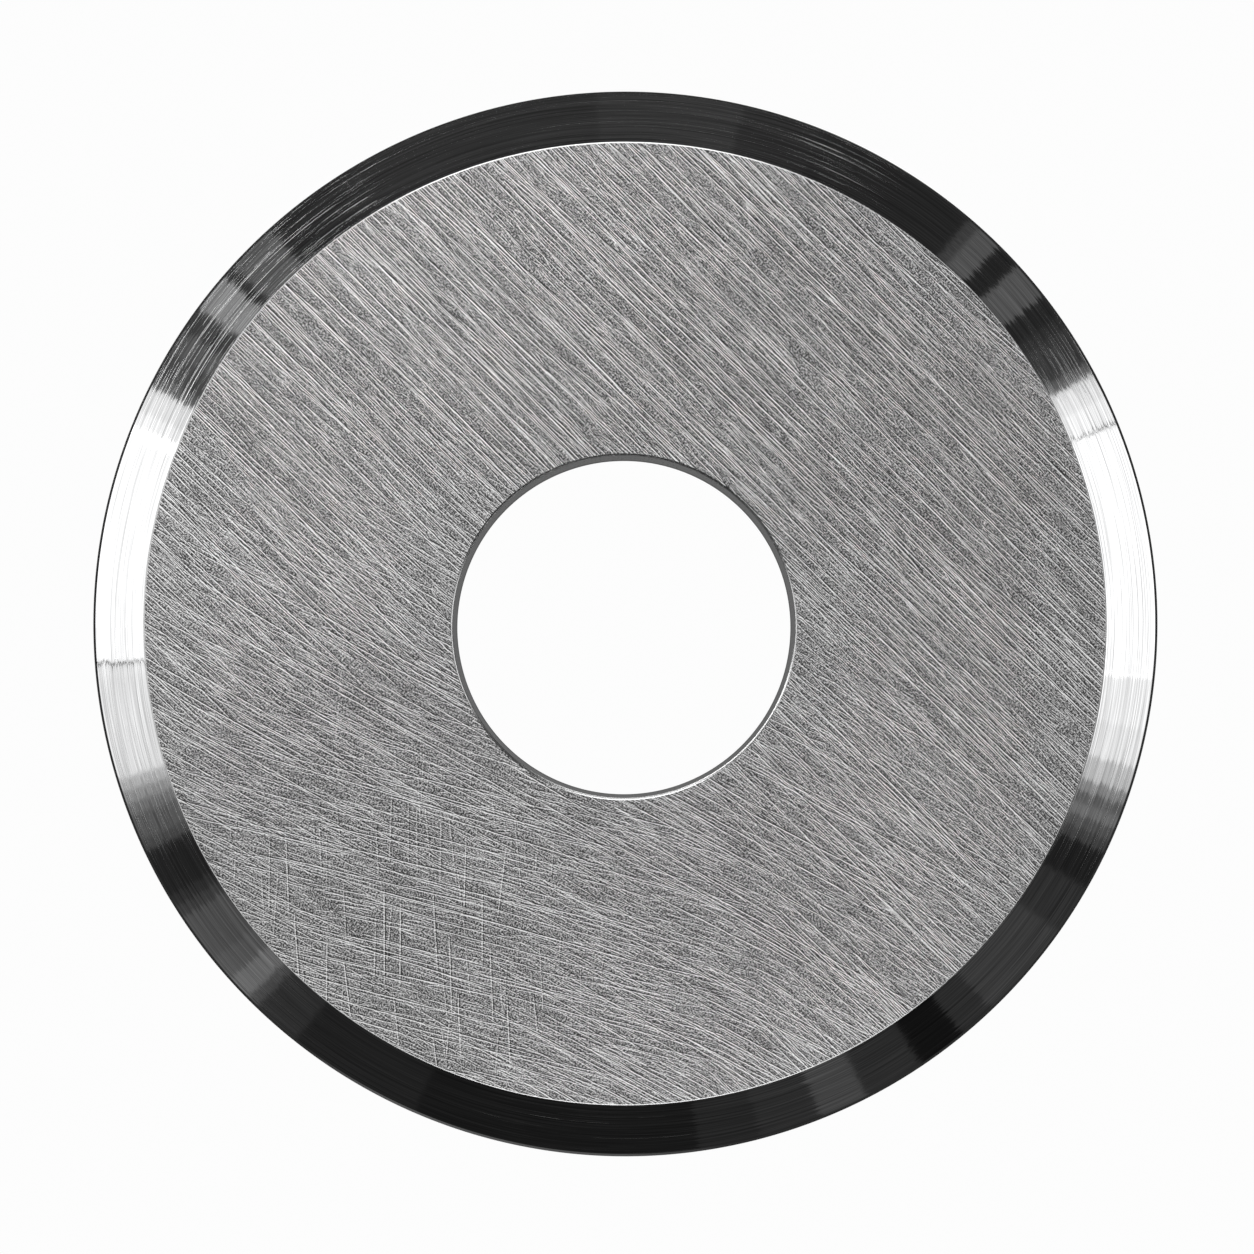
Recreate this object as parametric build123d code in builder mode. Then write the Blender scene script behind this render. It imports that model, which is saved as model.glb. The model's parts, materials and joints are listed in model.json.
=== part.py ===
"""Circular knife: a hardened steel disc with a plain bore and one ground bevel.

The origin is the centre of the bore on the flat back face, and +Z runs along the bore
towards the bevelled front. The knife lies on its back face. All sizes are millimetres
and degrees.
"""

import os
from math import radians, tan

from build123d import *

# Driving sizes
knife_diameter = 80.0
bore_diameter = 25.0
thickness = 3.0
bevel_angle = 30.0  # ground bevel, measured from the back face
edge_bevel_angle = 45.0  # honed bevel at the cutting edge, from the back face
edge_bevel_width = 0.29  # honed bevel, measured along the radius
edge_land = 0.05  # height of the flat left at the very edge
bore_chamfer = 0.15
arris_radius = 0.2  # stoned corner between the front face and the ground bevel

# Sizes that follow
knife_radius = knife_diameter / 2
bore_radius = bore_diameter / 2

# The honed bevel starts on top of the edge land and ends where the ground bevel begins
honed_radius = knife_radius - edge_bevel_width
honed_top = edge_land + edge_bevel_width * tan(radians(edge_bevel_angle))

# The ground bevel climbs from there to the front face
face_radius = honed_radius - (thickness - honed_top) / tan(radians(bevel_angle))


# Knife disc
with BuildPart() as knife_disc:
    # Half of the section on the XZ plane, from the axis out to the cutting edge
    with BuildSketch(Plane.XZ):
        with BuildLine():
            Polyline(
                (0, 0),
                (knife_radius, 0),
                (knife_radius, edge_land),
                (honed_radius, honed_top),
                (face_radius, thickness),
                (0, thickness),
                close=True,
            )
        make_face()
    revolve(axis=Axis.Z)

    # The bore goes right through, with a chamfer at both faces
    Hole(radius=bore_radius)
    bore_wall = knife_disc.faces().filter_by(GeomType.CYLINDER).sort_by(SortBy.RADIUS)[0]
    chamfer(bore_wall.edges().filter_by(GeomType.CIRCLE), length=bore_chamfer)

    # The arris between the front face and the ground bevel is the widest circle on the face
    front_face = knife_disc.faces().filter_by(Axis.Z).sort_by(Axis.Z)[-1]
    arris = front_face.edges().filter_by(GeomType.CIRCLE).sort_by(SortBy.RADIUS)[-1]
    fillet(arris, radius=arris_radius)

knife_disc.part.label = "knife_disc"

os.makedirs("parts", exist_ok=True)
export_step(knife_disc.part, "parts/knife_disc.step")
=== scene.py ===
"""Circular knife lying on a white table, bevel up, seen from straight above.

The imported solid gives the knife's size and place. This script turns the same section with
a finer pitch, gives each ground surface its own finish, and lights the table.
"""

import json
from math import cos, pi, radians, sin, sqrt, tan

import bpy
from mathutils import Euler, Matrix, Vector


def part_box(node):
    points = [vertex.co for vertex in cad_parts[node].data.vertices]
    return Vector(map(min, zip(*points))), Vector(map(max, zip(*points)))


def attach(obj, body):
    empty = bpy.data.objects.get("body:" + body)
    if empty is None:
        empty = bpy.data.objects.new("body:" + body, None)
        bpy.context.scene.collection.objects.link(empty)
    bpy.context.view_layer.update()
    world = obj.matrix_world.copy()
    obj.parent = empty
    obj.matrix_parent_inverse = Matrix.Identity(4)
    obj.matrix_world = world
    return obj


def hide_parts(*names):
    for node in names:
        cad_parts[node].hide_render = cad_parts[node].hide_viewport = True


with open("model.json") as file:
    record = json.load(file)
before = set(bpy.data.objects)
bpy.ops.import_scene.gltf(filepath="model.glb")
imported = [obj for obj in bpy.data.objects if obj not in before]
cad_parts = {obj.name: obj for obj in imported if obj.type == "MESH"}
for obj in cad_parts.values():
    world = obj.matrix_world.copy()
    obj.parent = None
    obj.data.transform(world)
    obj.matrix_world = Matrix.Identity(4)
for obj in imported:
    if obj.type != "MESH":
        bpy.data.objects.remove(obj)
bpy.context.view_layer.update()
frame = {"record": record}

bl_info = {
    "name": "Circular Knife",
    "version": (1, 0, 0),
    "blender": (4, 5, 0),
    "location": "View3D > Sidebar > Circular Knife",
    "description": "Models and lights a circular slitting knife with ground finishes",
    "category": "Add Mesh",
}

NODE = "knife_disc"
MM = 0.001

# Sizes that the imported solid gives
BORE = next(m for m in frame["record"]["mounts"] if m["name"] == "bore")
BORE_RADIUS = BORE["dims"]["r_mm"] * MM
BORE_LENGTH = BORE["dims"]["length_mm"] * MM
KNIFE_LOW, KNIFE_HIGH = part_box(NODE)
KNIFE_RADIUS = min(KNIFE_HIGH.x, KNIFE_HIGH.y, -KNIFE_LOW.x, -KNIFE_LOW.y)
THICKNESS = KNIFE_HIGH.z - KNIFE_LOW.z

# The photograph's frame, and the knife's outline in it, in its pixels
FRAME_PX = 1254
OUTLINE_RADIUS_PX = 531.8
OUTLINE_CENTRE_PX = (625.4, 624.0)


# Grey cards round the table: the azimuth in degrees where each starts, and its brightness
NORTH_CARDS = (
    (0.0, 0.0),
    (23.7, 1.24),
    (26.2, 1.08),
    (28.4, 0.13),
    (30.6, 0.05),
    (34.5, 0.032),
    (36.3, 0.018),
    (38.5, 0.11),
    (42.3, 0.014),
    (45.8, 0.105),
    (48.9, 0.055),
    (50.5, 0.017),
    (63.5, 0.02),
    (68.5, 0.026),
    (77.0, 0.04),
    (92.5, 0.03),
    (122.0, 0.026),
    (129.8, 0.125),
    (136.0, 0.03),
    (137.7, 0.32),
    (141.6, 0.055),
    (143.8, 0.115),
    (147.2, 0.08),
    (149.8, 0.13),
    (151.6, 1.08),
    (153.8, 1.27),
    (156.4, 0.0),
)
SOUTH_CARDS = (
    (0.0, 0.0),
    (182.7, 1.1),
    (184.2, 1.03),
    (194.2, 0.86),
    (195.3, 0.6),
    (196.4, 0.36),
    (197.7, 0.2),
    (199.6, 0.12),
    (202.0, 0.08),
    (203.3, 0.014),
    (208.5, 0.028),
    (210.1, 0.052),
    (212.3, 0.095),
    (216.6, 0.115),
    (219.7, 0.19),
    (222.5, 0.08),
    (225.0, 0.03),
    (229.5, 0.012),
    (246.0, 0.005),
    (278.0, 0.0),
)
EAST_CARDS = (
    (0.0, 0.0),
    (278.0, 0.017),
    (285.0, 0.026),
    (291.6, 0.068),
    (298.1, 0.025),
    (304.4, 0.0),
    (310.5, 0.026),
    (315.0, 0.05),
    (325.6, 0.03),
    (331.0, 0.01),
    (335.5, 0.06),
    (337.5, 0.1),
    (338.9, 0.2),
    (340.2, 0.13),
    (340.6, 0.3),
    (343.0, 0.68),
    (345.4, 1.08),
    (349.3, 1.2),
    (355.5, 0.0),
)


# Odd scratches on the front face: start and end in millimetres, half width and strength
FACE_STROKES = (
    ((-19.6, 5.3), (-20.3, 1.4), 0.09, 0.22),
    ((-20.2, 1.9), (-21.3, -10.5), 0.07, 0.24),
    ((-22.2, 2.7), (-22.4, 1.0), 0.07, 0.2),
    ((8.8, 31.4), (9.2, 28.6), 0.08, 0.35),
    ((9.1, 29.0), (10.2, 22.8), 0.06, 0.2),
    ((26.4, 8.1), (25.9, 6.5), 0.07, 0.4),
    ((17.1, 18.6), (15.8, 15.4), 0.09, 0.16),
    ((27.6, 0.4), (34.8, -1.7), 0.07, 0.26),
    ((29.6, 20.5), (28.4, 19.4), 0.08, 0.2),
)

# Brightness round the table just below its level, which the bore's chamfer mirrors
LOW_CARDS = (
    (0.0, 0.0),
    (56.0, 0.0),
    (66.0, 1.9),
    (105.0, 1.8),
    (118.0, 3.8),
    (160.0, 4.0),
    (170.0, 0.0),
)
# Brightness further below, which the honed edge mirrors
RIM_CARDS = (
    (0.0, 0.03),
    (232.0, 0.03),
    (242.0, 0.14),
    (270.0, 0.12),
    (282.0, 0.03),
)

# Where the bevel's grinding is coarser: azimuth in degrees and strength
COARSE_PLACES = (
    (0.0, 0.0),
    (26.0, 0.1),
    (28.0, 0.9),
    (32.0, 0.6),
    (38.0, 0.1),
    (56.0, 0.03),
    (61.0, 0.3),
    (67.0, 0.25),
    (72.0, 0.06),
    (94.0, 0.06),
    (116.0, 0.08),
    (121.0, 0.3),
    (130.0, 0.6),
    (140.0, 0.5),
    (152.0, 0.6),
    (155.0, 0.0),
    (186.0, 0.1),
    (197.0, 0.6),
    (204.0, 0.5),
    (207.0, 0.2),
    (225.0, 0.2),
    (248.0, 0.05),
    (258.0, 0.35),
    (272.0, 0.3),
    (284.0, 0.1),
    (330.0, 0.1),
    (336.0, 0.4),
    (344.0, 0.3),
    (350.0, 0.0),
)


class KnifeSizes(bpy.types.PropertyGroup):
    """Sizes of the disc's section"""

    bevel_angle: bpy.props.FloatProperty(
        name="Bevel Angle",
        description="Ground bevel, measured from the back face",
        default=radians(30),
        subtype="ANGLE",
    )
    edge_bevel_angle: bpy.props.FloatProperty(
        name="Edge Bevel Angle",
        description="Honed bevel at the cutting edge, from the back face",
        default=radians(45),
        subtype="ANGLE",
    )
    edge_bevel_width: bpy.props.FloatProperty(
        name="Edge Bevel Width",
        description="Width of the honed bevel along the radius",
        default=0.29 * MM,
        unit="LENGTH",
        precision=6,
    )
    edge_land: bpy.props.FloatProperty(
        name="Edge Land",
        description="Height of the flat left at the very edge",
        default=0.05 * MM,
        unit="LENGTH",
        precision=6,
    )
    arris_radius: bpy.props.FloatProperty(
        name="Arris Radius",
        description="Stoned corner between the front face and the bevel",
        default=0.2 * MM,
        unit="LENGTH",
        precision=6,
    )
    segments: bpy.props.IntProperty(
        name="Segments",
        description="Steps round the disc",
        default=720,
        min=90,
    )


class StageSettings(bpy.types.PropertyGroup):
    """Camera, table and room"""

    camera_height: bpy.props.FloatProperty(
        name="Camera Height",
        description="Height of the lens over the table",
        default=0.1,
        unit="LENGTH",
    )
    camera_aside: bpy.props.FloatProperty(
        name="Camera Aside",
        description="How far the lens stands to the right of the knife's middle",
        default=0.0,
        unit="LENGTH",
    )
    camera_back: bpy.props.FloatProperty(
        name="Camera Back",
        description="How far the lens stands above the knife's middle in the picture",
        default=-2.4 * MM,
        unit="LENGTH",
        precision=6,
    )
    camera_tilt: bpy.props.FloatProperty(
        name="Camera Tilt",
        description="Turn of the camera about its sideways axis",
        default=radians(-1.1),
        subtype="ANGLE",
    )
    camera_roll_aside: bpy.props.FloatProperty(
        name="Camera Lean",
        description="Turn of the camera about its upright axis",
        default=radians(0.45),
        subtype="ANGLE",
    )
    table_size: bpy.props.FloatProperty(
        name="Table Size",
        description="Side of the white table",
        default=3.0,
        unit="LENGTH",
    )
    table_colour: bpy.props.FloatVectorProperty(
        name="Table Colour",
        description="Colour of the white table and of the backdrop",
        default=(0.98, 0.98, 0.98),
        subtype="COLOR",
    )
    room_level: bpy.props.FloatProperty(
        name="Room Level",
        description="Brightness of the room that the steel mirrors",
        default=0.008,
    )
    lower_level: bpy.props.FloatProperty(
        name="Lower Level",
        description="Share of the cards below the table's level that the steel mirrors",
        default=1.0,
    )
    below_level: bpy.props.FloatProperty(
        name="Below Level",
        description="Brightness straight below",
        default=0.25,
    )


def new_material(name):
    """Node material with one metal shader. Returns the material, its tree and the shader."""
    material = bpy.data.materials.new(name)
    material.use_nodes = True
    tree = material.node_tree
    shader = tree.nodes["Principled BSDF"]
    shader.inputs["Metallic"].default_value = 1.0
    return material, tree, shader


def plug(tree, socket, value):
    """Links an output to an input, or sets the input to a value."""
    if isinstance(value, bpy.types.NodeSocket):
        tree.links.new(value, socket)
    else:
        socket.default_value = value


def calc(tree, operation, *values, clamp=False):
    """Math node."""
    node = tree.nodes.new("ShaderNodeMath")
    node.operation = operation
    node.use_clamp = clamp
    for socket, value in zip(node.inputs, values):
        plug(tree, socket, value)
    return node.outputs[0]


def remap(tree, value, low, high, to_low=0.0, to_high=1.0, smooth=True):
    """Map Range node, with a soft step unless smooth is false."""
    node = tree.nodes.new("ShaderNodeMapRange")
    node.interpolation_type = "SMOOTHSTEP" if smooth else "LINEAR"
    for name, number in (
        ("Value", value),
        ("From Min", low),
        ("From Max", high),
        ("To Min", to_low),
        ("To Max", to_high),
    ):
        plug(tree, node.inputs[name], number)
    return node.outputs["Result"]


def vector(tree, x, y, z=0.0):
    """Combine XYZ node."""
    node = tree.nodes.new("ShaderNodeCombineXYZ")
    for socket, value in zip(node.inputs, (x, y, z)):
        plug(tree, socket, value)
    return node.outputs[0]


def noise(tree, place, detail=3.0, roughness=0.5, scale=1.0, dimensions="3D"):
    """Noise about 0.5, read at a place."""
    node = tree.nodes.new("ShaderNodeTexNoise")
    node.noise_dimensions = dimensions
    plug(tree, node.inputs["Vector"], place)
    node.inputs["Scale"].default_value = scale
    node.inputs["Detail"].default_value = detail
    node.inputs["Roughness"].default_value = roughness
    return node.outputs["Fac"]


def streaks(tree, across, along, pitch, run, slant=0.0, detail=1.0, seed=0.0):
    """Noise drawn out along a lay, about 0: pitch and run are its features per millimetre across and along."""
    side = calc(tree, "MULTIPLY_ADD", along, slant, across)
    place = vector(
        tree,
        calc(tree, "MULTIPLY_ADD", side, pitch, seed * 37.7),
        calc(tree, "MULTIPLY_ADD", along, run, seed * 11.9),
    )
    return calc(tree, "SUBTRACT", noise(tree, place, detail, 0.6, dimensions="2D"), 0.5)


def millimetres(tree):
    """Object coordinates in millimetres, as three sockets."""
    place = tree.nodes.new("ShaderNodeTexCoord").outputs["Object"]
    scale = tree.nodes.new("ShaderNodeVectorMath")
    scale.operation = "SCALE"
    scale.inputs["Scale"].default_value = 1 / MM
    tree.links.new(place, scale.inputs[0])
    split = tree.nodes.new("ShaderNodeSeparateXYZ")
    tree.links.new(scale.outputs[0], split.inputs[0])
    return split.outputs["X"], split.outputs["Y"], split.outputs["Z"]


def scratch_group():
    """Node group: long scratches strewn along a lay, each a light line with a dark line at its side: a painted
    highlight and a painted shade, the lit and the shaded flank of a groove.

    Every scratch has its own slant, length, width and strength."""
    group = bpy.data.node_groups.new("Scratches", "ShaderNodeTree")
    face = group.interface
    for name in ("Across", "Along", "Spacing", "Length", "Width", "Slant", "Seed"):
        face.new_socket(name, in_out="INPUT", socket_type="NodeSocketFloat")
    face.new_socket("Mark", in_out="OUTPUT", socket_type="NodeSocketFloat")
    given = group.nodes.new("NodeGroupInput").outputs
    result = group.nodes.new("NodeGroupOutput").inputs
    # Each cell of a stretched field holds one scratch
    x = calc(group, "ADD", calc(group, "DIVIDE", given["Across"], given["Spacing"]), given["Seed"])
    y = calc(group, "DIVIDE", given["Along"], given["Length"])
    cells = group.nodes.new("ShaderNodeTexVoronoi")
    cells.voronoi_dimensions = "2D"
    cells.inputs["Scale"].default_value = 1.0
    group.links.new(vector(group, x, y), cells.inputs["Vector"])
    middle = group.nodes.new("ShaderNodeSeparateXYZ")
    group.links.new(cells.outputs["Position"], middle.inputs[0])
    luck = group.nodes.new("ShaderNodeSeparateColor")
    group.links.new(cells.outputs["Color"], luck.inputs[0])
    across = calc(group, "MULTIPLY", calc(group, "SUBTRACT", x, middle.outputs["X"]), given["Spacing"])
    along = calc(group, "MULTIPLY", calc(group, "SUBTRACT", y, middle.outputs["Y"]), given["Length"])
    lean = calc(group, "MULTIPLY", calc(group, "SUBTRACT", luck.outputs["Red"], 0.5), given["Slant"])
    width = calc(group, "MULTIPLY", given["Width"], calc(group, "MULTIPLY_ADD", luck.outputs["Green"], 0.3, 0.85))
    off_line = calc(group, "DIVIDE", calc(group, "MULTIPLY_ADD", along, lean, across), width)
    light = remap(group, calc(group, "ABSOLUTE", off_line), 0.0, 0.5, 1.0, 0.0)
    beside = calc(group, "ABSOLUTE", calc(group, "SUBTRACT", off_line, 1.0))
    dark = remap(group, beside, 0.0, 0.5, 0.7, 0.0)
    reach = calc(group, "MULTIPLY", given["Length"], calc(group, "MULTIPLY_ADD", luck.outputs["Blue"], 0.4, 0.2))
    ends = remap(group, calc(group, "DIVIDE", calc(group, "ABSOLUTE", along), reach), 0.5, 1.0, 1.0, 0.0)
    strength = calc(group, "POWER", luck.outputs["Blue"], 1.5)
    # Painted highlight on the groove's lit flank, less painted shade on its shaded flank
    lit_and_shaded_flanks = calc(group, "SUBTRACT", light, dark)
    group.links.new(calc(group, "MULTIPLY", calc(group, "MULTIPLY", lit_and_shaded_flanks, ends), strength), result["Mark"])
    return group


def scratches(tree, group, across, along, spacing, length, width, slant, seed):
    """One use of the scratch group. Returns its mark, above 0 on the painted highlight and below on the painted
    shade.
    """
    node = tree.nodes.new("ShaderNodeGroup")
    node.node_tree = group
    for name, value in (
        ("Across", across),
        ("Along", along),
        ("Spacing", spacing),
        ("Length", length),
        ("Width", width),
        ("Slant", slant),
        ("Seed", seed),
    ):
        plug(tree, node.inputs[name], value)
    return node.outputs["Mark"]


def grey(tree, value, tint=(1.0, 1.0, 1.0)):
    """Colour of one brightness with a light tint."""
    node = tree.nodes.new("ShaderNodeCombineColor")
    for socket, share in zip(node.inputs, tint):
        plug(tree, socket, calc(tree, "MULTIPLY", value, share))
    return node.outputs[0]


def lay(tree, x, y, fall):
    """Across and along a lay of grinding lines that fall to the right at an angle, in millimetres."""
    along = calc(tree, "MULTIPLY_ADD", x, cos(fall), calc(tree, "MULTIPLY", y, -sin(fall)))
    across = calc(tree, "MULTIPLY_ADD", x, sin(fall), calc(tree, "MULTIPLY", y, cos(fall)))
    # The wheel's path wanders by a few hundredths of a millimetre
    place = vector(tree, calc(tree, "MULTIPLY", across, 1.5), calc(tree, "MULTIPLY", along, 0.8))
    wander = calc(tree, "SUBTRACT", noise(tree, place, 1.0, 0.5, dimensions="2D"), 0.5)
    return calc(tree, "MULTIPLY_ADD", wander, 0.05, across), along


def stroke(tree, x, y, start, end, width):
    """1 on one straight scratch between two places on the face, fading at its sides and ends."""
    start, end = Vector(start), Vector(end)
    middle, run = (start + end) / 2, (end - start).normalized()
    reach = (end - start).length / 2
    off_x = calc(tree, "SUBTRACT", x, middle.x)
    off_y = calc(tree, "SUBTRACT", y, middle.y)
    along = calc(tree, "MULTIPLY_ADD", off_x, run.x, calc(tree, "MULTIPLY", off_y, run.y))
    across = calc(tree, "MULTIPLY_ADD", off_x, -run.y, calc(tree, "MULTIPLY", off_y, run.x))
    line = remap(tree, calc(tree, "ABSOLUTE", across), 0.0, width, 1.0, 0.0)
    ends = remap(tree, calc(tree, "ABSOLUTE", along), reach * 0.4, reach, 1.0, 0.0)
    return calc(tree, "MULTIPLY", line, ends)


def spot(tree, x, y, middle_x, middle_y, reach):
    """1 at a place on the face, falling to 0 at a distance from it."""
    off_x = calc(tree, "SUBTRACT", x, middle_x)
    off_y = calc(tree, "SUBTRACT", y, middle_y)
    square = calc(tree, "MULTIPLY_ADD", off_x, off_x, calc(tree, "MULTIPLY", off_y, off_y))
    return remap(tree, square, reach * reach, 0.0)


def ground_face_material(group):
    """Front face: flat ground at 44 degrees, with a lay that turns flatter at the lower left."""
    material, tree, shader = new_material("ground_face")
    x, y, z = millimetres(tree)
    main_across, main_along = lay(tree, x, y, radians(44))
    next_across, next_along = lay(tree, x, y, radians(29))
    low_across, low_along = lay(tree, x, y, radians(15))
    # The lay turns flatter towards a place at the lower left
    off_x = calc(tree, "SUBTRACT", x, -15.0)
    off_y = calc(tree, "MULTIPLY", calc(tree, "SUBTRACT", y, -23.0), 1.35)
    square = calc(tree, "MULTIPLY_ADD", off_x, off_x, calc(tree, "MULTIPLY", off_y, off_y))
    near = remap(tree, calc(tree, "SQRT", square), 50.0, 0.0)
    low_share = calc(tree, "MULTIPLY_ADD", near, 2.0, -1.0, clamp=True)
    main_share = calc(tree, "MULTIPLY_ADD", near, -2.0, 1.0, clamp=True)
    next_share = calc(tree, "SUBTRACT", calc(tree, "SUBTRACT", 1.0, low_share), main_share)
    main_part = calc(tree, "SQRT", main_share)
    next_part = calc(tree, "SQRT", calc(tree, "MAXIMUM", next_share, 0.0))
    low_part = calc(tree, "SQRT", low_share)
    # Fine grain, then broad bands
    total = calc(tree, "MULTIPLY", streaks(tree, main_across, main_along, 10.0, 8.0, 0.0, 0.0, 3.0), 1.2)
    bands = streaks(tree, main_across, main_along, 0.9, 0.03, 0.0, 0.0, 5.0)
    total = calc(tree, "MULTIPLY_ADD", bands, 0.12, total)
    # Single scratches: where, then spacing, length and width in millimetres, slant, weight and seed
    crossed = spot(tree, x, y, -17.0, -25.0, 19.0)
    for across, along, part, spacing, length, width, slant, weight, seed in (
        (main_across, main_along, main_part, 0.15, 1.6, 0.060, 0.50, 1.2, 5.3),
        (main_across, main_along, main_part, 0.20, 6.0, 0.065, 0.16, 1.8, 11.3),
        (main_across, main_along, main_part, 0.30, 14.0, 0.070, 0.09, 2.4, 23.7),
        (main_across, main_along, main_part, 0.55, 40.0, 0.075, 0.05, 3.0, 37.1),
        (next_across, next_along, next_part, 0.17, 2.5, 0.060, 0.40, 1.4, 81.3),
        (next_across, next_along, next_part, 0.22, 8.0, 0.066, 0.16, 2.0, 88.7),
        (next_across, next_along, next_part, 0.40, 26.0, 0.072, 0.08, 2.7, 95.2),
        (low_across, low_along, low_part, 0.17, 3.0, 0.060, 0.40, 1.5, 43.9),
        (low_across, low_along, low_part, 0.24, 9.0, 0.068, 0.16, 2.1, 49.1),
        (low_across, low_along, low_part, 0.45, 30.0, 0.075, 0.10, 2.6, 53.6),
        (x, y, crossed, 0.60, 7.0, 0.100, 0.25, 0.9, 73.8),
    ):
        mark = scratches(tree, group, across, along, spacing, length, width, slant, seed)
        # Each scratch adds its painted highlight line and painted shade line to the colour
        total = calc(tree, "MULTIPLY_ADD", calc(tree, "MULTIPLY", mark, part), weight, total)
    for start, end, width, weight in FACE_STROKES:
        total = calc(tree, "MULTIPLY_ADD", stroke(tree, x, y, start, end, width), weight, total)
    brightness = calc(tree, "MAXIMUM", calc(tree, "ADD", total, 0.27), 0.05)
    plug(tree, shader.inputs["Base Color"], grey(tree, brightness, (1.0, 0.997, 1.0)))
    plug(tree, shader.inputs["Roughness"], remap(tree, total, -0.5, 0.5, 0.42, 0.32, smooth=False))
    # Reflections spread square to the lay
    shader.inputs["Anisotropic"].default_value = 0.5
    turn = tree.nodes.new("ShaderNodeVectorTransform")
    turn.vector_type = "VECTOR"
    turn.convert_from = "OBJECT"
    turn.convert_to = "WORLD"
    plug(tree, turn.inputs[0], vector(tree, sqrt(0.5), sqrt(0.5)))
    tree.links.new(turn.outputs[0], shader.inputs["Tangent"])
    return material


def turned_grooves(tree, radius, side_x, side_y, pitch, run, seed):
    """Noise about 0 that runs round the disc: pitch across the grooves and run along them, per millimetre."""
    place = vector(
        tree,
        calc(tree, "MULTIPLY_ADD", radius, pitch, seed * 17.3),
        calc(tree, "MULTIPLY", side_x, run),
        calc(tree, "MULTIPLY", side_y, run),
    )
    return calc(tree, "SUBTRACT", noise(tree, place, 1.0, 0.6), 0.5)


def bevel_material(group):
    """Ground bevel: bright, with fine grooves that run round the disc."""
    material, tree, shader = new_material("ground_bevel")
    x, y, z = millimetres(tree)
    radius = calc(tree, "SQRT", calc(tree, "MULTIPLY_ADD", x, x, calc(tree, "MULTIPLY", y, y)))
    spin_x = calc(tree, "DIVIDE", x, radius)
    spin_y = calc(tree, "DIVIDE", y, radius)
    side_x = calc(tree, "MULTIPLY", spin_x, 38.0)
    side_y = calc(tree, "MULTIPLY", spin_y, 38.0)
    azimuth = calc(tree, "ARCTAN2", y, x)
    turn = calc(tree, "FRACT", calc(tree, "DIVIDE", azimuth, 2 * pi))
    arc = calc(tree, "MULTIPLY", azimuth, 38.0)
    fine = turned_grooves(tree, radius, side_x, side_y, 8.5, 0.12, 1.0)
    long = turned_grooves(tree, radius, side_x, side_y, 7.0, 0.03, 2.0)
    colour = calc(tree, "MULTIPLY_ADD", calc(tree, "ADD", fine, long), 0.7, 0.70)
    # Single grooves: spacing, length and width in millimetres, weight and seed
    groove_highlight_and_shade = 0.0
    for spacing, length, width, weight, seed in (
        (0.16, 2.5, 0.050, 0.8, 4.1),
        (0.20, 8.0, 0.055, 1.0, 6.3),
        (0.30, 30.0, 0.060, 1.3, 9.7),
    ):
        mark = scratches(tree, group, radius, arc, spacing, length, width, 0.0, seed)
        groove_highlight_and_shade = calc(tree, "MULTIPLY_ADD", mark, weight, groove_highlight_and_shade)
    # The grooves' painted highlight and painted shade lines go into the colour
    colour = calc(tree, "MULTIPLY_ADD", groove_highlight_and_shade, 0.3, colour)
    plug(tree, shader.inputs["Base Color"], grey(tree, colour, (0.992, 0.995, 1.0)))
    # Where the grinding is coarse a groove is dull, so it shows light among dark reflections
    dull = calc(tree, "MULTIPLY", calc(tree, "MAXIMUM", groove_highlight_and_shade, 0.0), round_ramp(tree, turn, COARSE_PLACES))
    plug(tree, shader.inputs["Roughness"], calc(tree, "MULTIPLY_ADD", dull, 0.6, 0.05))
    # Each groove leans a little along its run, so reflections end raggedly
    lean = calc(tree, "MULTIPLY", calc(tree, "ADD", fine, long), 0.02)
    plug(tree, shader.inputs["Normal"], leaning_normal(tree, spin_x, spin_y, lean, 0.0))
    return material


def round_ramp(tree, turn, values, interpolation="LINEAR"):
    """Value by azimuth. Turn runs from 0 to 1 round the knife, and values are pairs of degrees and level."""
    ramp = tree.nodes.new("ShaderNodeValToRGB")
    ramp.color_ramp.interpolation = interpolation
    stops = ramp.color_ramp.elements
    for i, (azimuth, level) in enumerate(values):
        stop = stops[i] if i < len(stops) else stops.new(azimuth / 360)
        stop.position = azimuth / 360
        stop.color = (level, level, level, 1)
    tree.links.new(turn, ramp.inputs[0])
    return ramp.outputs["Color"]


def leaning_normal(tree, spin_x, spin_y, lean, inward):
    """The surface's normal, leaned by one slope round the disc and by another towards its axis."""
    turn = tree.nodes.new("ShaderNodeVectorTransform")
    turn.vector_type = "VECTOR"
    turn.convert_from = "OBJECT"
    turn.convert_to = "WORLD"
    back_y = calc(tree, "MULTIPLY", spin_y, inward)
    back_x = calc(tree, "MULTIPLY", spin_x, inward)
    slope_x = calc(tree, "MULTIPLY", calc(tree, "MULTIPLY_ADD", spin_y, lean, back_x), -1.0)
    slope_y = calc(tree, "SUBTRACT", calc(tree, "MULTIPLY", spin_x, lean), back_y)
    tree.links.new(vector(tree, slope_x, slope_y), turn.inputs[0])
    total = tree.nodes.new("ShaderNodeVectorMath")
    total.operation = "ADD"
    tree.links.new(tree.nodes.new("ShaderNodeNewGeometry").outputs["Normal"], total.inputs[0])
    tree.links.new(turn.outputs[0], total.inputs[1])
    unit = tree.nodes.new("ShaderNodeVectorMath")
    unit.operation = "NORMALIZE"
    tree.links.new(total.outputs[0], unit.inputs[0])
    return unit.outputs[0]


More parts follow.
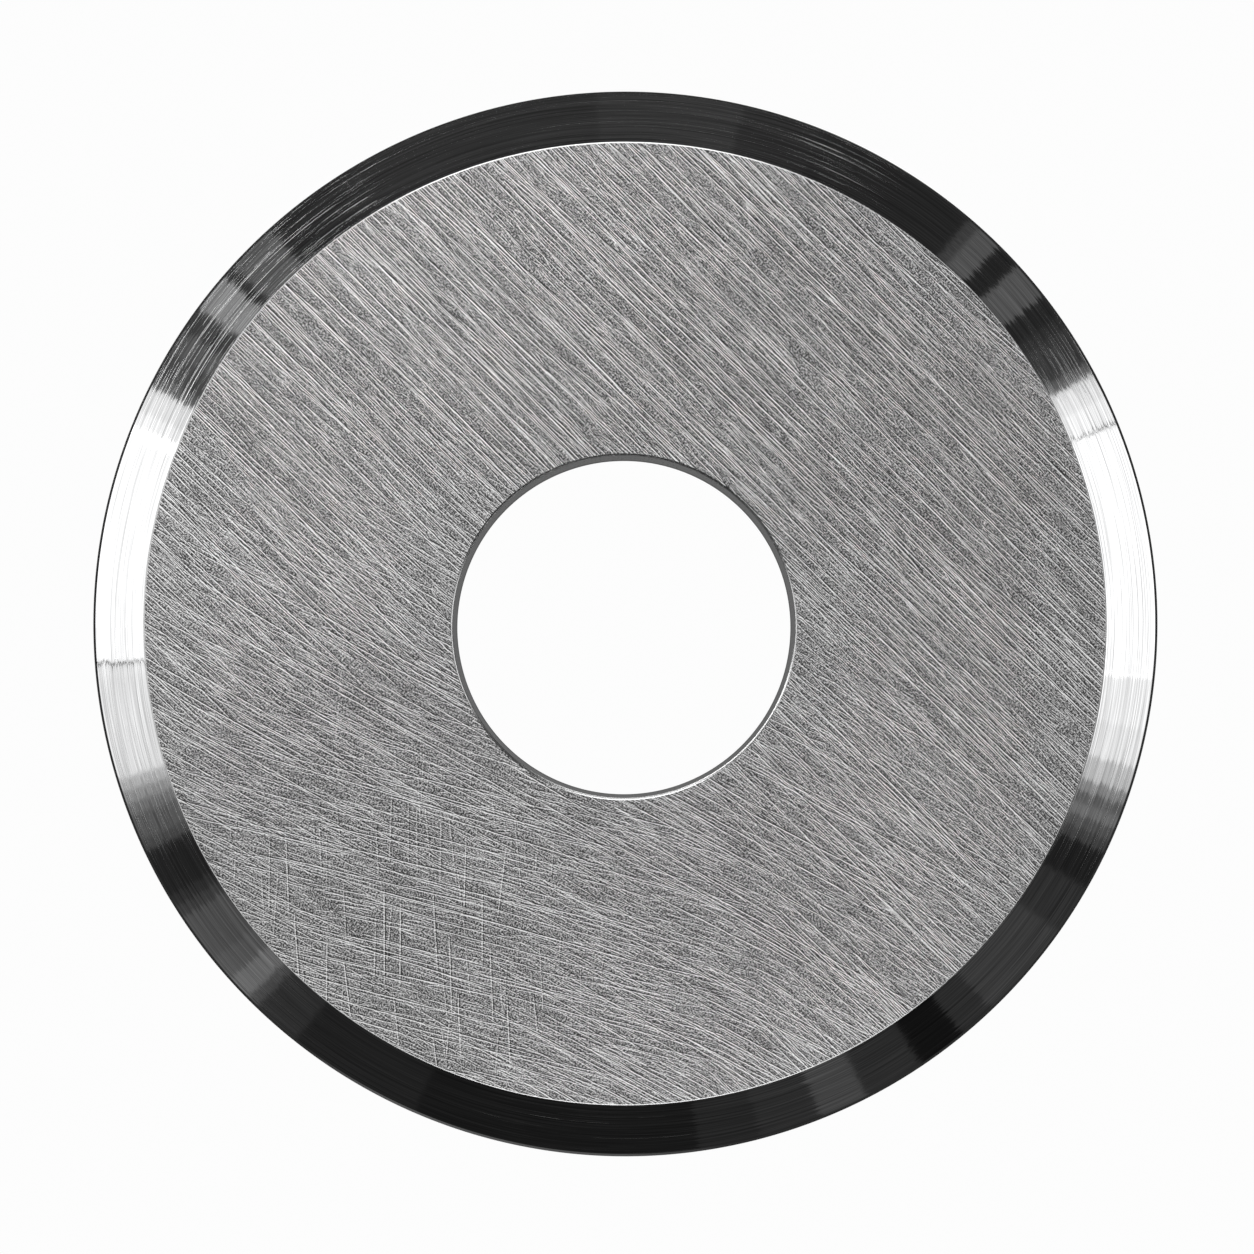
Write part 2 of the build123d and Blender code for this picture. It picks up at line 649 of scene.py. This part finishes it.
def plain_steel_material(name, roughness, colour, foot=1.0):
    """Steel with a fine even grain. Foot is its brightness at the very bottom of a wall, a painted shade where the
    wall meets the table.
    """
    material, tree, shader = new_material(name)
    x, y, z = millimetres(tree)
    grain = noise(tree, vector(tree, x, y, z), 2.0, 0.6, 5.0)
    level = remap(tree, grain, 0.2, 0.8, colour * 0.8, colour * 1.2, smooth=False)
    if foot != 1.0:
        # Painted shade: darker towards the wall's foot, where it meets the table
        level = calc(tree, "MULTIPLY", level, remap(tree, z, 0.45, 0.9, foot, 1.0))
    plug(tree, shader.inputs["Base Color"], grey(tree, level))
    plug(tree, shader.inputs["Roughness"], remap(tree, grain, 0.2, 0.8, roughness * 0.85, roughness * 1.15))
    return material


def arc_stations(middle_radius, middle_height, size, first_lean, last_lean, steps, surface):
    """Stations of the section on an arc. Lean is the outward normal's angle from straight up."""
    stations = []
    for i in range(steps + 1):
        lean = first_lean + (last_lean - first_lean) * i / steps
        stations.append((middle_radius + size * sin(lean), middle_height + size * cos(lean), surface))
    return stations


def section_of(sizes):
    """The section as (radius, height, surface up to here), from the foot of the bore wall round to the back face."""
    chamfer = (THICKNESS - BORE_LENGTH) / 2
    # The bore's chamfer is crowned: an arc over the same two corners
    crown_lean = radians(12)
    crown_size = chamfer * sqrt(0.5) / sin(crown_lean)
    crown_radius = BORE_RADIUS + crown_size * sin(radians(45) + crown_lean)
    crown_height = THICKNESS - chamfer - crown_size * cos(radians(45) + crown_lean)
    crown = arc_stations(
        crown_radius, crown_height, crown_size, -radians(45) - crown_lean, -radians(45) + crown_lean, 8, "chamfer"
    )
    slope = tan(sizes.bevel_angle)
    honed_radius = KNIFE_RADIUS - sizes.edge_bevel_width
    honed_top = sizes.edge_land + sizes.edge_bevel_width * tan(sizes.edge_bevel_angle)
    corner = honed_radius - (THICKNESS - honed_top) / slope
    # The stoned corner is an arc that touches the face and the bevel
    arc_radius = corner - sizes.arris_radius * tan(sizes.bevel_angle / 2)
    arris = arc_stations(
        arc_radius, THICKNESS - sizes.arris_radius, sizes.arris_radius, 0.0, sizes.bevel_angle, 8, "arris"
    )
    end_radius, end_height, _ = arris[-1]
    guard = 0.02 * MM
    return [
        (BORE_RADIUS, chamfer, "bore"),
        (BORE_RADIUS, THICKNESS - chamfer, "bore"),
        *crown[1:-1],
        (BORE_RADIUS + chamfer, THICKNESS, "chamfer"),
        (arc_radius - guard, THICKNESS, "face"),
        (arc_radius, THICKNESS, "face"),
        *arris[1:],
        (end_radius + guard * cos(sizes.bevel_angle), end_height - guard * sin(sizes.bevel_angle), "bevel"),
        (honed_radius, honed_top, "bevel"),
        (KNIFE_RADIUS, sizes.edge_land, "honed"),
        (KNIFE_RADIUS, 0.0, "honed"),
        (BORE_RADIUS + chamfer, 0.0, "back"),
    ]


class KNIFE_OT_disc(bpy.types.Operator):
    """Turns the knife's disc and gives each surface its finish"""

    bl_idname = "knife.disc"
    bl_label = "Knife Disc"

    def execute(self, context):
        sizes = context.scene.knife_sizes
        section = section_of(sizes)
        radius, height, _ = section[0]
        bpy.ops.object.select_all(action="DESELECT")
        bpy.ops.mesh.primitive_circle_add(
            vertices=sizes.segments, radius=radius, fill_type="NOTHING", location=(0, 0, height)
        )
        disc = context.active_object
        disc.name = "ground_knife"
        bpy.ops.object.transform_apply(location=True, rotation=True, scale=True)
        bpy.ops.object.mode_set(mode="EDIT")
        bpy.ops.mesh.select_mode(type="EDGE")
        bpy.ops.mesh.select_all(action="SELECT")
        for next_radius, next_height, _ in section[1:]:
            bpy.ops.mesh.extrude_edges_move()
            share = next_radius / radius
            bpy.ops.transform.resize(value=(share, share, 1), center_override=(0, 0, height))
            bpy.ops.transform.translate(value=(0, 0, next_height - height))
            radius, height = next_radius, next_height
        # The last ring joins the first along the chamfer at the back face
        bpy.ops.mesh.select_all(action="DESELECT")
        bpy.ops.mesh.select_non_manifold(extend=False)
        bpy.ops.mesh.bridge_edge_loops()
        bpy.ops.mesh.select_all(action="SELECT")
        bpy.ops.mesh.normals_make_consistent(inside=False)
        bpy.ops.object.mode_set(mode="OBJECT")
        bpy.ops.object.shade_smooth_by_angle(angle=radians(8))
        surfaces = [surface for _, _, surface in section[1:]] + ["chamfer"]
        self.finish_surfaces(disc, surfaces, sizes.segments)
        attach(disc, "root")
        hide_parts(NODE)
        return {"FINISHED"}

    def finish_surfaces(self, disc, surfaces, segments):
        """Gives each ring of faces the material of its surface. The faces lie ring after ring in the mesh."""
        group = scratch_group()
        materials = {
            "face": ground_face_material(group),
            "bevel": bevel_material(group),
            "arris": plain_steel_material("stoned_arris", 0.25, 0.7),
            "honed": plain_steel_material("honed_edge", 0.12, 0.6),
            # The bore wall gets a painted shade at its foot
            "bore": plain_steel_material("bore_wall", 0.3, 0.46, 0.35),
            "chamfer": plain_steel_material("bore_chamfer", 0.25, 0.75),
            "back": plain_steel_material("ground_back", 0.35, 0.55),
        }
        names = list(materials)
        for material in materials.values():
            disc.data.materials.append(material)
        for polygon in disc.data.polygons:
            polygon.material_index = names.index(surfaces[polygon.index // segments])


def area_light(name, azimuth, distance, height, width, tall, radiance, aim_height=0.0, floor=True):
    """Rectangular softbox that faces the knife. Its brightness is what a mirror would show of it."""
    data = bpy.data.lights.new(name, "AREA")
    data.shape = "RECTANGLE"
    data.size, data.size_y = width, tall
    data.energy = radiance * width * tall * pi
    light = bpy.data.objects.new(name, data)
    bpy.context.scene.collection.objects.link(light)
    place = Vector((cos(azimuth) * distance, sin(azimuth) * distance, height))
    light.location = place
    light.rotation_mode = "QUATERNION"
    light.rotation_quaternion = (Vector((0, 0, aim_height)) - place).to_track_quat("-Z", "Y")
    light.visible_camera = False
    light.visible_diffuse = floor
    return light


class KNIFE_OT_stage(bpy.types.Operator):
    """Sets the camera over the knife, the white table and the lights"""

    bl_idname = "knife.stage"
    bl_label = "Table, Lights and Camera"

    def execute(self, context):
        stage = context.scene.knife_stage
        self.set_camera(context, stage)
        self.set_table(context, stage)
        self.set_world(context, stage)
        self.set_lights()
        context.scene.view_settings.view_transform = "Standard"
        return {"FINISHED"}

    def set_camera(self, context, stage):
        """Camera over the knife, framed so that the knife's outline lies as it does in the photograph."""
        data = bpy.data.cameras.new("camera")
        camera = bpy.data.objects.new("camera", data)
        context.scene.collection.objects.link(camera)
        context.scene.camera = camera
        place = Vector((stage.camera_aside, stage.camera_back, stage.camera_height))
        turn = Euler((stage.camera_tilt, stage.camera_roll_aside, 0.0))
        camera.location = place
        camera.rotation_euler = turn
        # Slopes at which the camera sees the outline's four outermost points
        slopes = []
        for x, y in ((1, 0), (-1, 0), (0, 1), (0, -1)):
            point = Vector((x * KNIFE_RADIUS, y * KNIFE_RADIUS, 0.0)) - place
            point.rotate(turn.to_quaternion().inverted())
            slopes.append((point.x / -point.z, point.y / -point.z))
        across = (slopes[0][0] + slopes[1][0]) / 2
        up = (slopes[2][1] + slopes[3][1]) / 2
        pixels_per_slope = 2 * OUTLINE_RADIUS_PX / (slopes[0][0] - slopes[1][0])
        data.sensor_width = 36.0
        data.lens = data.sensor_width * pixels_per_slope / FRAME_PX
        data.shift_x = (across * pixels_per_slope + FRAME_PX / 2 - OUTLINE_CENTRE_PX[0]) / FRAME_PX
        data.shift_y = (up * pixels_per_slope - FRAME_PX / 2 + OUTLINE_CENTRE_PX[1]) / FRAME_PX
        data.clip_start, data.clip_end = 0.005, 20.0

    def set_table(self, context, stage):
        """White sheet that glows evenly, as a light table does. It lets light from below through."""
        bpy.ops.object.select_all(action="DESELECT")
        bpy.ops.mesh.primitive_plane_add(size=stage.table_size, location=(0, 0, -0.01 * MM))
        table = context.active_object
        table.name = "white_table"
        bpy.ops.object.transform_apply(location=True, rotation=True, scale=True)
        material = bpy.data.materials.new("white_acrylic")
        material.use_nodes = True
        tree = material.node_tree
        shader = tree.nodes["Principled BSDF"]
        shader.inputs["Base Color"].default_value = (0, 0, 0, 1)
        shader.inputs["Specular IOR Level"].default_value = 0.0
        shader.inputs["Emission Color"].default_value = (*stage.table_colour, 1)
        shader.inputs["Emission Strength"].default_value = 1.0
        side = tree.nodes.new("ShaderNodeNewGeometry").outputs["Backfacing"]
        tree.links.new(calc(tree, "SUBTRACT", 1.0, side), shader.inputs["Alpha"])
        material.cycles.emission_sampling = "NONE"
        table.data.materials.append(material)
        table.visible_glossy = False

    def set_world(self, context, stage):
        """Pale to the camera. To the steel a dim room, grey underneath and pale straight below."""
        world = bpy.data.worlds.new("studio")
        context.scene.world = world
        world.use_nodes = True
        tree = world.node_tree
        tree.nodes.clear()
        out = tree.nodes.new("ShaderNodeOutputWorld")
        mix = tree.nodes.new("ShaderNodeMixShader")
        seen = tree.nodes.new("ShaderNodeBackground")
        seen.inputs["Color"].default_value = (*stage.table_colour, 1)
        room = tree.nodes.new("ShaderNodeBackground")
        split = tree.nodes.new("ShaderNodeSeparateXYZ")
        tree.links.new(tree.nodes.new("ShaderNodeTexCoord").outputs["Generated"], split.inputs[0])
        up = split.outputs["Z"]
        azimuth = calc(tree, "ARCTAN2", split.outputs["Y"], split.outputs["X"])
        turn = calc(tree, "FRACT", calc(tree, "DIVIDE", azimuth, 2 * pi))
        level = calc(tree, "ADD", remap(tree, up, -0.85, -0.97, 0.0, stage.below_level), stage.room_level)
        for cards, interpolation, bottom, top, share in (
            (NORTH_CARDS, "CONSTANT", -0.03, 0.37, 1.0),
            (SOUTH_CARDS, "CONSTANT", -0.03, 0.37, 1.0),
            (EAST_CARDS, "CONSTANT", -0.03, 0.37, 1.0),
            (LOW_CARDS, "LINEAR", -0.26, 0.05, stage.lower_level),
            (RIM_CARDS, "LINEAR", -0.8, -0.26, stage.lower_level),
        ):
            ring = round_ramp(tree, turn, cards, interpolation)
            band = calc(
                tree,
                "MULTIPLY",
                remap(tree, up, bottom - 0.02, bottom + 0.02),
                remap(tree, up, top - 0.02, top + 0.02, share, 0.0),
            )
            level = calc(tree, "MULTIPLY_ADD", ring, band, level)
        tree.links.new(grey(tree, level), room.inputs["Color"])
        path = tree.nodes.new("ShaderNodeLightPath")
        tree.links.new(path.outputs["Is Camera Ray"], mix.inputs[0])
        tree.links.new(room.outputs[0], mix.inputs[1])
        tree.links.new(seen.outputs[0], mix.inputs[2])
        tree.links.new(mix.outputs[0], out.inputs[0])

    def set_lights(self):
        """Overhead softbox, key and fill, and a softbox at each side."""
        area_light("overhead", radians(140), 0.13, 0.58, 1.2, 1.2, 0.76)
        area_light("overhead_corner", radians(133), 0.34, 0.5, 0.45, 0.45, 0.25)
        area_light("key", radians(95), 0.5, 0.29, 0.45, 0.36, 2.2)
        area_light("fill", radians(278), 0.45, 0.5, 0.55, 0.2, 2.0)
        for name, start, end, radiance in (
            ("softbox_right", -4.5, 23.7, 1.5),
            ("softbox_left", 156.4, 182.7, 1.5),
        ):
            middle, half = radians((start + end) / 2), radians((end - start) / 2)
            distance = 0.5
            area_light(name, middle, distance, 0.1, 2 * distance * tan(half), 0.12, radiance, 0.0, False)


class KNIFE_PT_panel(bpy.types.Panel):
    """Buttons that set up the stage and turn the knife's disc"""

    bl_idname = "KNIFE_PT_panel"
    bl_label = "Circular Knife"
    bl_space_type = "VIEW_3D"
    bl_region_type = "UI"
    bl_category = "Circular Knife"

    def draw(self, context):
        self.layout.operator("knife.stage")
        self.layout.operator("knife.disc")


CLASSES = (KnifeSizes, StageSettings, KNIFE_OT_disc, KNIFE_OT_stage, KNIFE_PT_panel)


def register():
    for item in CLASSES:
        bpy.utils.register_class(item)
    bpy.types.Scene.knife_sizes = bpy.props.PointerProperty(type=KnifeSizes)
    bpy.types.Scene.knife_stage = bpy.props.PointerProperty(type=StageSettings)


def unregister():
    del bpy.types.Scene.knife_stage
    del bpy.types.Scene.knife_sizes
    for item in reversed(CLASSES):
        bpy.utils.unregister_class(item)


def main():
    """Makes the stage and the knife."""
    register()
    bpy.ops.knife.stage()
    bpy.ops.knife.disc()


if __name__ == "__main__":
    main()
